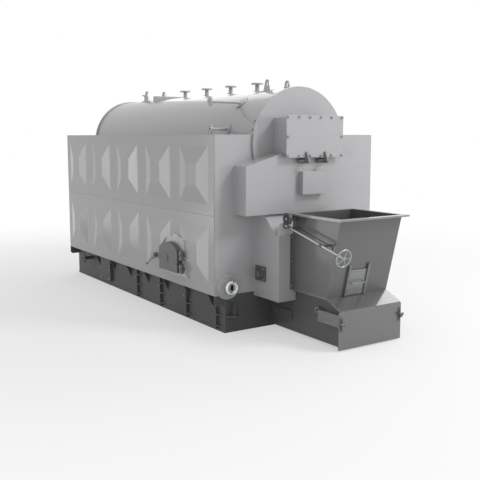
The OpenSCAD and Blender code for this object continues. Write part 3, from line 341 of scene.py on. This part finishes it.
MATERIALS = {
    "light_paint": painted("light_grey_enamel", cool_grey(0.35), coat=0.6),
    "dark_paint": painted("dark_grey_enamel", grey(0.105), edge=0.2, gloss=0.40, coat=1.0),
    "base_paint": painted("base_grey_enamel", grey(0.076), edge=0.12, gloss=0.55, coat=0.08, shine=0.25),
    "bright_metal": steel("bare_steel", grey(0.40), 0.30),
}
STUB_PAINT = painted("stub_enamel", cool_grey(0.38), edge=0.25, gloss=0.42, coat=0.25)
DOOR_PAINT = painted("door_enamel", grey(0.118), edge=0.2, gloss=0.5, coat=0.08, shine=0.3)
# The apron is darker than the dark enamel of the front panel, as painted shade for the hopper's shadow
APRON_PAINT = painted("apron_enamel", grey(0.072), edge=0.2, gloss=0.40, coat=1.0)
# The housing ears are a lighter copy of the light enamel, as painted light on them
EAR_PAINT = painted("ear_enamel", cool_grey(0.47), coat=0.6)
DRUM_PAINT = painted("drum_enamel", cool_grey(0.33), coat=0.6)
PANEL_PAINT = painted("panel_enamel", cool_grey(0.32), gloss=0.15, shine=0.45)
# The lower panels are a lighter copy of the panel enamel, as painted light against the shade near the floor
LOW_PANEL_PAINT = painted("lower_panel_enamel", cool_grey(0.337), gloss=0.15, shine=0.45)
# The inner walls of the hopper have the second tone
HOPPER_MIDDLE = (0.0, -3.25, 0.0)
HOPPER_PAINT = second_tone(painted("hopper_enamel", grey(0.095), edge=0.2, gloss=0.40, coat=0.35),
                           grey(0.088), HOPPER_MIDDLE, 0.02, 0.10)
# The door frame is light, and what stands out from it for the hinge is dark
HINGE_START = (-1.303, 0.0, 0.0)
FRAME_PAINT = second_tone(painted("door_frame_enamel", cool_grey(0.40), coat=0.7),
                          grey(0.10), HINGE_START, 0.0, 0.001, direction=(-1, 0, 0))
CAST_IRON = painted("cast_iron", grey(0.03), drift=0.15, edge=0.35, gloss=0.35, peel=0.0006)
BRACKET_PAINT = painted("bracket_enamel", grey(0.075), edge=0.2, gloss=0.40, coat=0.4)
# The hopper's rim is lighter than the dark enamel as a painted highlight along its lip, and its edges are paler
# still, as wear and painted highlight
RIM_PAINT = painted("rim_enamel", grey(0.16), edge=0.35, gloss=0.36, coat=1.0)
PLATE_PAINT = painted("grate_plate_enamel", grey(0.085), edge=0.15, gloss=0.5, coat=0.15, shine=0.3)
WHEEL_STEEL = steel("handled_steel", grey(0.33), 0.34)
POLISHED_STEEL = steel("polished_steel", grey(0.68), 0.25, metal=0.95)
FASTENER_STEEL = steel("zinc_fasteners", grey(0.30), 0.38, metal=0.7)
# Near black, as painted shade at the bottom of the header hand holes
HOLE_SHADE = painted("hole_shade", grey(0.008), edge=0.0, gloss=0.8, shine=0.1)
SEALANT = painted("grey_sealant", grey(0.38), edge=0.0, gloss=0.6, peel=0.0005)
# The cover hooks are dark as painted shade, for the shade under the cover's lip
HOOK_PAINT = painted("hook_enamel", grey(0.15), edge=0.25, gloss=0.40, coat=0.5)
GATE_PAINT = painted("gate_enamel", grey(0.155), edge=0.3, gloss=0.40, coat=1.0)
OWN_FINISH = {
    "left_upper_panels": PANEL_PAINT,
    "left_lower_panels": LOW_PANEL_PAINT,
    "right_upper_panels": PANEL_PAINT,
    "right_lower_panels": LOW_PANEL_PAINT,
    "drum_shell": DRUM_PAINT,
    "gauge_stubs": STUB_PAINT,
    "cover_hooks": HOOK_PAINT,
    "housing_ears": EAR_PAINT,
    "housing_hatches": PLATE_PAINT,
    "grate_side_plates": PLATE_PAINT,
    "apron": APRON_PAINT,
    "tension_clamps": BRACKET_PAINT,
    "ash_frame": PLATE_PAINT,
    "ash_door": PLATE_PAINT,
    "hopper": HOPPER_PAINT,
    "hopper_rim": RIM_PAINT,
    "slide_gate": GATE_PAINT,
    "gear_brackets": BRACKET_PAINT,
    "worm_wheel": CAST_IRON,
    "door_frame": FRAME_PAINT,
    "side_door": DOOR_PAINT,
    "door_latch": BRACKET_PAINT,
}


def finish_cad_nodes():
    """Each CAD node gets the material of its slot in the record, or the finish of its own."""
    for part in frame["record"]["subparts"]:
        mesh = frame["nodes"][part["node"]].data
        mesh.materials.clear()
        mesh.materials.append(OWN_FINISH.get(part["node"], MATERIALS[part["material_slot"]]))


def finish_piece(name, work, material, body="boiler", smooth=None):
    """The piece that a bmesh holds, riding on a body, with edges left sharp from smooth degrees on."""
    bmesh.ops.recalc_face_normals(work, faces=work.faces)
    mesh = bpy.data.meshes.new(name)
    work.to_mesh(mesh)
    work.free()
    if smooth:
        mesh.polygons.foreach_set("use_smooth", [True] * len(mesh.polygons))
        mesh.set_sharp_from_angle(angle=math.radians(smooth))
    mesh.materials.append(material)
    piece = bpy.data.objects.new(name, mesh)
    bpy.context.scene.collection.objects.link(piece)
    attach(piece, body)
    return piece


# How deep a fitting is sunk into the face that it stands on
SUNK = 0.001


def standing(place, direction):
    """Turns local +Z to a direction, at a place."""
    return Matrix.Translation(place) @ Vector(direction).to_track_quat("Z", "Y").to_matrix().to_4x4()


def add_round(work, stand, radius, bottom, top, sides=24, top_radius=None):
    """A closed round bar, cone or prism between two heights on a stand."""
    bmesh.ops.create_cone(work, cap_ends=True, segments=sides, radius1=radius,
                          radius2=radius if top_radius is None else top_radius, depth=top - bottom,
                          matrix=stand @ Matrix.Translation((0, 0, (bottom + top) / 2)))


def add_block(work, low, high, place=Matrix.Identity(4)):
    """A box between two corners, put in place by a matrix."""
    low, high = Vector(low), Vector(high)
    shape = Matrix.Translation((low + high) / 2) @ Matrix.Diagonal((*(high - low), 1))
    bmesh.ops.create_cube(work, size=1, matrix=place @ shape)


def add_stud(work, place, direction, size=0.018, stand_out=0.010):
    """A washer, a hexagon nut and the end of its stud on a flat face."""
    stand = standing(place, direction)
    across_flats, washer_t = 1.5 * size, 0.002
    nut_top = washer_t + 0.8 * size
    add_round(work, stand, across_flats * 0.66, -SUNK, washer_t, sides=16)
    add_round(work, stand, across_flats / math.sqrt(3), washer_t, nut_top, sides=6)
    add_round(work, stand, size / 2, washer_t, nut_top + stand_out, sides=10, top_radius=size * 0.42)


def edges_at(vertices):
    """The edges that meet at some vertices, each once."""
    return list(dict.fromkeys(edge for vertex in vertices for edge in vertex.link_edges))


def add_ring(work, centre, axis, radius, bar_r, steps=64, sides=8):
    """A round bar bent to a ring round an axis: a weld bead, a lip or a rim."""
    upright = Matrix.Rotation(math.pi / 2, 4, "X")
    section = standing(centre, axis) @ Matrix.Translation((radius, 0, 0)) @ upright
    circle = bmesh.ops.create_circle(work, segments=sides, radius=bar_r, matrix=section)["verts"]
    bmesh.ops.spin(work, geom=circle + edges_at(circle), cent=centre, axis=Vector(axis).normalized(),
                   angle=2 * math.pi, steps=steps, use_merge=True)


def add_weld_line(work, start, end, bead):
    """A straight bead, half sunk in the corner between two plates."""
    start, end = Vector(start), Vector(end)
    add_round(work, standing(start, end - start), bead, 0, (end - start).length, sides=8)


BOTH_SIDES = (-1, 1)
FRONT_Y = -2.4
BASE_X = 1.1
DRUM_AXIS = Vector((0, 0, 2.27))
DRUM_RADIUS = 0.70
DRUM_TOP = DRUM_AXIS.z + DRUM_RADIUS
# The header ends: radius and reach in front of the casing of the pad, the collar and the neck
HEADER_X, HEADER_Z = 1.065, 0.573
HEADER_PAD = (0.155, 0.022)
HEADER_COLLAR = (0.098, 0.046)
HEADER_NECK = (0.070, 0.105)


def cover_studs():
    """Studs round the edge of the bolted cover."""
    work = bmesh.new()
    low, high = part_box("upper_cover")
    inset, columns = 0.022, 6
    left, right, bottom, top = low.x + inset, high.x - inset, low.z + inset, high.z - inset
    for column in range(columns):
        x = left + (right - left) * column / (columns - 1)
        for z in (bottom, top):
            add_stud(work, (x, low.y, z), (0, -1, 0))
    for x in (left, right):
        add_stud(work, (x, low.y, (bottom + top) / 2), (0, -1, 0))
    finish_piece("cover_studs", work, MATERIALS["light_paint"])


def hatch_fittings():
    """Four studs at the corners of each side hatch, and a stepped round boss in its middle."""
    low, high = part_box("housing_hatches")
    plate_t, inset = 0.018, 0.024
    hatch_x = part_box("grate_housing")[1].x + plate_t
    studs = bmesh.new()
    for side in BOTH_SIDES:
        for y in (low.y + inset, high.y - inset):
            for z in (low.z + inset, high.z - inset):
                add_stud(studs, (side * hatch_x, y, z), (side, 0, 0), size=0.012, stand_out=0.006)
    finish_piece("hatch_studs", studs, MATERIALS["dark_paint"])
    bosses = bmesh.new()
    middle_y, middle_z = (low.y + high.y) / 2, (low.z + high.z) / 2
    flange_top, barrel_top, cap_top = 0.012, 0.048, 0.056
    for side in BOTH_SIDES:
        stand = standing((side * hatch_x, middle_y, middle_z), (side, 0, 0))
        add_round(bosses, stand, 0.052, -2 * SUNK, flange_top, sides=40, top_radius=0.047)
        add_round(bosses, stand, 0.041, flange_top, barrel_top, sides=40, top_radius=0.038)
        add_round(bosses, stand, 0.034, barrel_top, cap_top, sides=40, top_radius=0.026)
    finish_piece("hatch_bosses", bosses, BRACKET_PAINT, smooth=35)


def hopper_flange_studs():
    """Three studs on each of the hopper's upright flanges."""
    work = bmesh.new()
    flange_t, edge_distance, heights = 0.008, 0.018, (0.60, 0.90, 1.19)
    stud_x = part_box("hopper")[1].x - edge_distance
    flange_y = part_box("grate_housing")[0].y - flange_t
    for side in BOTH_SIDES:
        for z in heights:
            add_stud(work, (side * stud_x, flange_y, z), (0, -1, 0), size=0.014, stand_out=0.008)
    finish_piece("hopper_flange_studs", work, MATERIALS["dark_paint"])


def base_fasteners():
    """One round-headed bolt behind each stanchion, and six studs on each cover."""
    work = bmesh.new()
    post_start, post_pitch, post_count = 0.165, 0.74, 4
    behind_post, bolt_z, bolt_r, bolt_top_r, bolt_h = 0.116, 0.286, 0.013, 0.008, 0.009
    for side in BOTH_SIDES:
        for i in range(post_count):
            place = (side * BASE_X, FRONT_Y + post_start + i * post_pitch + behind_post, bolt_z)
            stand = standing(place, (side, 0, 0))
            add_round(work, stand, bolt_r, -SUNK, bolt_h, sides=20, top_radius=bolt_top_r)
    low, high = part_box("base_covers")
    inset = 0.028
    for side in BOTH_SIDES:
        for y in (low.y + inset, high.y - inset):
            for z in (low.z + inset, (low.z + high.z) / 2, high.z - inset):
                add_stud(work, (side * high.x, y, z), (side, 0, 0), size=0.012, stand_out=0.005)
    finish_piece("base_fasteners", work, FASTENER_STEEL)


def door_frame_studs():
    """Studs along the frame's flange and at its feet."""
    work = bmesh.new()
    flange_x, middle_y, arch_z, stud_circle_r = -1.262, FRONT_Y + 0.95, 0.73, 0.383
    foot_half, foot_z = 0.333, 0.612
    turns = [math.radians(angle) for angle in (-45, -15, 15, 45)]
    places = [(stud_circle_r * math.sin(turn), arch_z + stud_circle_r * math.cos(turn)) for turn in turns]
    places += [(-foot_half, foot_z), (foot_half, foot_z)]
    for y, z in places:
        add_stud(work, (flange_x, middle_y + y, z), (-1, 0, 0), size=0.010, stand_out=0.004)
    finish_piece("door_frame_studs", work, FASTENER_STEEL)


# Place along the drum and outer pipe radius of the nozzles: four in a row, and the small vent
NOZZLES = [(FRONT_Y + 0.91 + 0.66 * i, 0.0285) for i in range(4)] + [(FRONT_Y + 4.315, 0.017)]
NOZZLE_PAD_R = 0.055
DRUM_PAD_T = 0.007


def drum_pads():
    """Pads under the nozzles and lugs, and two clips beside the front head."""
    work = bmesh.new()
    nozzle_pad_sunk = 0.02
    for y, _ in NOZZLES:
        stand = Matrix.Translation((0, y, DRUM_TOP))
        add_round(work, stand, NOZZLE_PAD_R, -nozzle_pad_sunk, DRUM_PAD_T, sides=48)
    lug_x, lug_ys, half_w, half_l = 0.16, (FRONT_Y + 0.45, FRONT_Y + 3.92), 0.032, 0.105
    pad_bottom, pad_top = DRUM_RADIUS - 0.012, DRUM_RADIUS + DRUM_PAD_T
    lean = math.asin(lug_x / DRUM_RADIUS)
    for side in BOTH_SIDES:
        turned = Matrix.Translation(DRUM_AXIS) @ Matrix.Rotation(side * lean, 4, "Y")
        for y in lug_ys:
            add_block(work, (-half_w, y - half_l, pad_bottom), (half_w, y + half_l, pad_top), turned)
    clip_y, clip_half, clip_sunk, clip_top, clip_heights = FRONT_Y + 0.035, 0.012, 0.01, 0.022, (0.18, 0.28)
    for height in clip_heights:
        out = Vector((-math.sqrt(DRUM_RADIUS ** 2 - height ** 2), 0, height)).normalized()
        stand = standing(DRUM_AXIS + out * DRUM_RADIUS + Vector((0, clip_y, 0)), out)
        add_block(work, (-clip_half, -clip_half, -clip_sunk), (clip_half, clip_half, clip_top), stand)
    finish_piece("drum_pads", work, MATERIALS["light_paint"], smooth=40)


def drum_welds():
    """Beads round the drum at both ends of the casing, and round the nozzles and their pads."""
    work = bmesh.new()
    for y, bead in ((FRONT_Y + 0.003, 0.004), (2.398, 0.015)):
        add_ring(work, (0, y, DRUM_AXIS.z), (0, 1, 0), DRUM_RADIUS, bead, steps=180)
    pipe_bead, pad_bead, pad_seam_z = 0.005, 0.004, DRUM_TOP + 0.0005
    for y, pipe_r in NOZZLES:
        add_ring(work, (0, y, DRUM_TOP + DRUM_PAD_T), (0, 0, 1), pipe_r, pipe_bead, steps=32)
        add_ring(work, (0, y, pad_seam_z), (0, 0, 1), NOZZLE_PAD_R, pad_bead, steps=48)
    finish_piece("drum_welds", work, MATERIALS["light_paint"], smooth=60)


def casing_welds():
    """Beads where the boxes on the front meet the casing and each other."""
    work = bmesh.new()
    low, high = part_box("smoke_box")
    shoulder_z, flat_top_x = 2.02, 0.44
    housing_x, housing_z, housing_seam_y = 0.67, 0.42, -2.68
    bead, thin_bead, hatch_bead = 0.005, 0.004, 0.003
    for side in BOTH_SIDES:
        x, wall_x = side * high.x, side * housing_x
        add_weld_line(work, (x, FRONT_Y, low.z), (x, FRONT_Y, shoulder_z), bead)
        add_weld_line(work, (x, FRONT_Y, shoulder_z), (side * flat_top_x, FRONT_Y, high.z), bead)
        add_weld_line(work, (x, FRONT_Y, low.z), (wall_x, FRONT_Y, low.z), bead)
        add_weld_line(work, (wall_x, FRONT_Y, housing_z), (wall_x, FRONT_Y, low.z), bead)
        add_weld_line(work, (wall_x, housing_seam_y, low.z), (wall_x, FRONT_Y, low.z), bead)
        header_x = side * HEADER_X
        add_ring(work, (header_x, FRONT_Y, HEADER_Z), (0, 1, 0), HEADER_PAD[0], bead)
        add_ring(work, (header_x, FRONT_Y - HEADER_PAD[1], HEADER_Z), (0, 1, 0), HEADER_COLLAR[0], bead)
        add_ring(work, (header_x, FRONT_Y - HEADER_COLLAR[1], HEADER_Z), (0, 1, 0), HEADER_NECK[0], thin_bead)
    hatch_low, hatch_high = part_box("smoke_box_hatch")
    for z in (hatch_low.z, hatch_high.z):
        add_weld_line(work, (hatch_low.x, low.y, z), (hatch_high.x, low.y, z), hatch_bead)
    finish_piece("casing_welds", work, MATERIALS["light_paint"], smooth=60)


def panel_sealant():
    """Sealant in the seams between the cladding panels, a little behind their faces."""
    work = bmesh.new()
    back, face, seam_half = 1.238, 1.2492, 0.0035
    panel_l, panel_cols, end_y = 0.96, 5, -FRONT_Y - 0.004
    bottom_z, middle_z, top_z = 0.474, 1.43, 2.386
    for side in BOTH_SIDES:
        low_x, high_x = sorted((side * back, side * face))
        for i in range(1, panel_cols):
            y = FRONT_Y + i * panel_l
            add_block(work, (low_x, y - seam_half, bottom_z), (high_x, y + seam_half, top_z))
        add_block(work, (low_x, -end_y, middle_z - seam_half), (high_x, end_y, middle_z + seam_half))
    finish_piece("panel_sealant", work, SEALANT)


JOINT_PLACES = {joint["name"]: Vector(joint["pos_m"]) for joint in frame["joints"] if "pos_m" in joint}
SHAFT_SLOPE = math.radians(13.75)
SHAFT_DOWN = Vector((0, -math.cos(SHAFT_SLOPE), -math.sin(SHAFT_SLOPE)))
WORM_MIDDLE = JOINT_PLACES["hand_shaft_turn"]
HAND_SHAFT_R, HAND_SHAFT_L = 0.012, 1.030


def threaded_shaft():
    """The hand shaft with a real thread on its worm."""
    work = bmesh.new()
    stand = standing(WORM_MIDDLE, SHAFT_DOWN)
    upper_end, lower_end, tip = -0.036, HAND_SHAFT_L + 0.012, HAND_SHAFT_L + 0.016
    add_round(work, stand, HAND_SHAFT_R, upper_end, lower_end, sides=32)
    add_round(work, stand, HAND_SHAFT_R * 0.75, lower_end, tip, sides=32, top_radius=HAND_SHAFT_R * 0.6)
    root_r, crest_r, root_half, crest_half = HAND_SHAFT_R - 0.001, 0.016, 0.0045, 0.0018
    pitch, turns, steps_a_turn = 0.0122, 2.7, 28
    start = -pitch * turns / 2
    flank = [(root_r, start - root_half), (crest_r, start - crest_half),
             (crest_r, start + crest_half), (root_r, start + root_half)]
    ring = [work.verts.new(stand @ Vector((radius, 0, height))) for radius, height in flank]
    face = work.faces.new(ring)
    bmesh.ops.spin(work, geom=[*ring, *face.edges, face], cent=WORM_MIDDLE, axis=SHAFT_DOWN,
                   dvec=SHAFT_DOWN * pitch / steps_a_turn, angle=2 * math.pi * turns,
                   steps=int(steps_a_turn * turns))
    shaft = finish_piece("threaded_shaft", work, MATERIALS["bright_metal"], "hand_shaft",
                         smooth=35)
    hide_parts("hand_shaft")


def cast_handwheel():
    """A rim on five tapered oval spokes, with a stepped hub."""
    work = bmesh.new()
    centre = WORM_MIDDLE + SHAFT_DOWN * HAND_SHAFT_L
    stand = standing(centre, SHAFT_DOWN)
    rim_middle_r, rim_bar_r, spokes = 0.0965, 0.0110, 5
    add_ring(work, centre, SHAFT_DOWN, rim_middle_r, rim_bar_r, steps=72, sides=16)
    foot, tip = Vector((0.010, 0, 0.008)), Vector((rim_middle_r - 0.004, 0, 0))
    oval, foot_r, tip_r = Matrix.Diagonal((0.8, 1.2, 1, 1)), 0.0085, 0.0055
    for i in range(spokes):
        turned = stand @ Matrix.Rotation(2 * math.pi * i / spokes, 4, "Z")
        spoke = turned @ standing(foot, tip - foot)
        add_round(work, spoke @ oval, foot_r, 0, (tip - foot).length, sides=12, top_radius=tip_r)
    add_round(work, stand, 0.021, -0.014, 0.006, sides=32, top_radius=0.019)
    add_round(work, stand, 0.019, 0.006, 0.014, sides=32, top_radius=0.015)
    wheel = finish_piece("cast_handwheel", work, WHEEL_STEEL, "hand_shaft", smooth=35)
    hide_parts("handwheel")


def header_covers():
    """A polished ring on each header end round an oval hand hole, with a near-black plug in its bottom as painted
    shade.
    """
    covers = bmesh.new()
    hole_shade = bmesh.new()
    lip_r, plate_r, hole_half_w, hole_half_h, hole_depth = 0.020, 0.056, 0.024, 0.043, 0.035
    bore_r, shade_from, shade_to = 0.0465, -0.064, -0.036
    for side in BOTH_SIDES:
        centre = Vector((side * HEADER_X, FRONT_Y - HEADER_NECK[1], HEADER_Z))
        add_ring(covers, centre - Vector((0, SUNK, 0)), (0, 1, 0), HEADER_NECK[0], lip_r, steps=48)
        stand = standing(centre - Vector((0, 2 * SUNK, 0)), (0, -1, 0))
        outer = bmesh.ops.create_circle(covers, segments=48, radius=plate_r, matrix=stand)["verts"]
        oval = stand @ Matrix.Diagonal((hole_half_w, hole_half_h, 1, 1))
        inner = bmesh.ops.create_circle(covers, segments=48, radius=1, matrix=oval)["verts"]
        outer_edges, inner_edges = edges_at(outer), edges_at(inner)
        bmesh.ops.bridge_loops(covers, edges=outer_edges + inner_edges)
        wall = bmesh.ops.extrude_edge_only(covers, edges=inner_edges)["geom"]
        deep = [item for item in wall if isinstance(item, bmesh.types.BMVert)]
        bmesh.ops.translate(covers, verts=deep, vec=(0, hole_depth, 0))
        upright = Matrix.Translation(centre) @ Matrix.Rotation(math.pi / 2, 4, "X")
        # A near-black plug behind the oval hole, as painted shade in its depth
        add_round(hole_shade, upright, bore_r, shade_from, shade_to)
    finish_piece("header_covers", covers, POLISHED_STEEL, smooth=40)
    finish_piece("header_hole_shade", hole_shade, HOLE_SHADE)


def clamp_knobs():
    """A star knob on the stud of each tension clamp."""
    work = bmesh.new()
    panel_y, clamp_x, clamp_z = FRONT_Y - 1.36, 0.449, 0.310
    hub_r, hub_from, hub_to = 0.014, 0.024, 0.052
    arms, arm_l, arm_half_w, arm_from, arm_to = 3, 0.026, 0.009, 0.027, 0.043
    for side in BOTH_SIDES:
        stand = standing((side * clamp_x, panel_y, clamp_z), (0, -1, 0))
        add_round(work, stand, hub_r, hub_from, hub_to, sides=24)
        for i in range(arms):
            arm = stand @ Matrix.Rotation(2 * math.pi * i / arms + math.pi / 6, 4, "Z")
            add_block(work, (0, -arm_half_w, arm_from), (arm_l, arm_half_w, arm_to), arm)
            add_round(work, arm @ Matrix.Translation((arm_l, 0, 0)), arm_half_w, arm_from, arm_to, sides=20)
    finish_piece("clamp_knobs", work, FASTENER_STEEL, smooth=35)


def latch_boss():
    """The heavy boss round the latch's pivot, with its nut."""
    work = bmesh.new()
    stand = standing(JOINT_PLACES["door_latch_turn"], (-1, 0, 0))
    boss_from, boss_to, nut_to = 0.010, 0.028, 0.036
    add_round(work, stand, 0.036, boss_from, boss_to, sides=32, top_radius=0.032)
    add_round(work, stand, 0.016, boss_to, nut_to, sides=6)
    finish_piece("latch_boss", work, BRACKET_PAINT, "door_latch", smooth=35)


def hinge_nuts():
    """A nut on each end of the side door's two hinge pins."""
    work = bmesh.new()
    hinge = JOINT_PLACES["side_door_hinge"]
    pin_middles, pin_half, nut_r, nut_h = (0.710, 0.886), 0.052, 0.020, 0.011
    for z in pin_middles:
        for up in BOTH_SIDES:
            stand = standing((hinge.x, hinge.y, z + up * pin_half), (0, 0, up))
            add_round(work, stand, nut_r, 0, nut_h, sides=6)
    finish_piece("hinge_nuts", work, BRACKET_PAINT)


add_camera()
add_lights()
add_world()
add_floor()
finish_cad_nodes()
cover_studs()
hatch_fittings()
hopper_flange_studs()
base_fasteners()
door_frame_studs()
drum_pads()
drum_welds()
casing_welds()
panel_sealant()
threaded_shaft()
cast_handwheel()
header_covers()
clamp_knobs()
latch_boss()
hinge_nuts()

bpy.context.scene.view_settings.view_transform = "Standard"
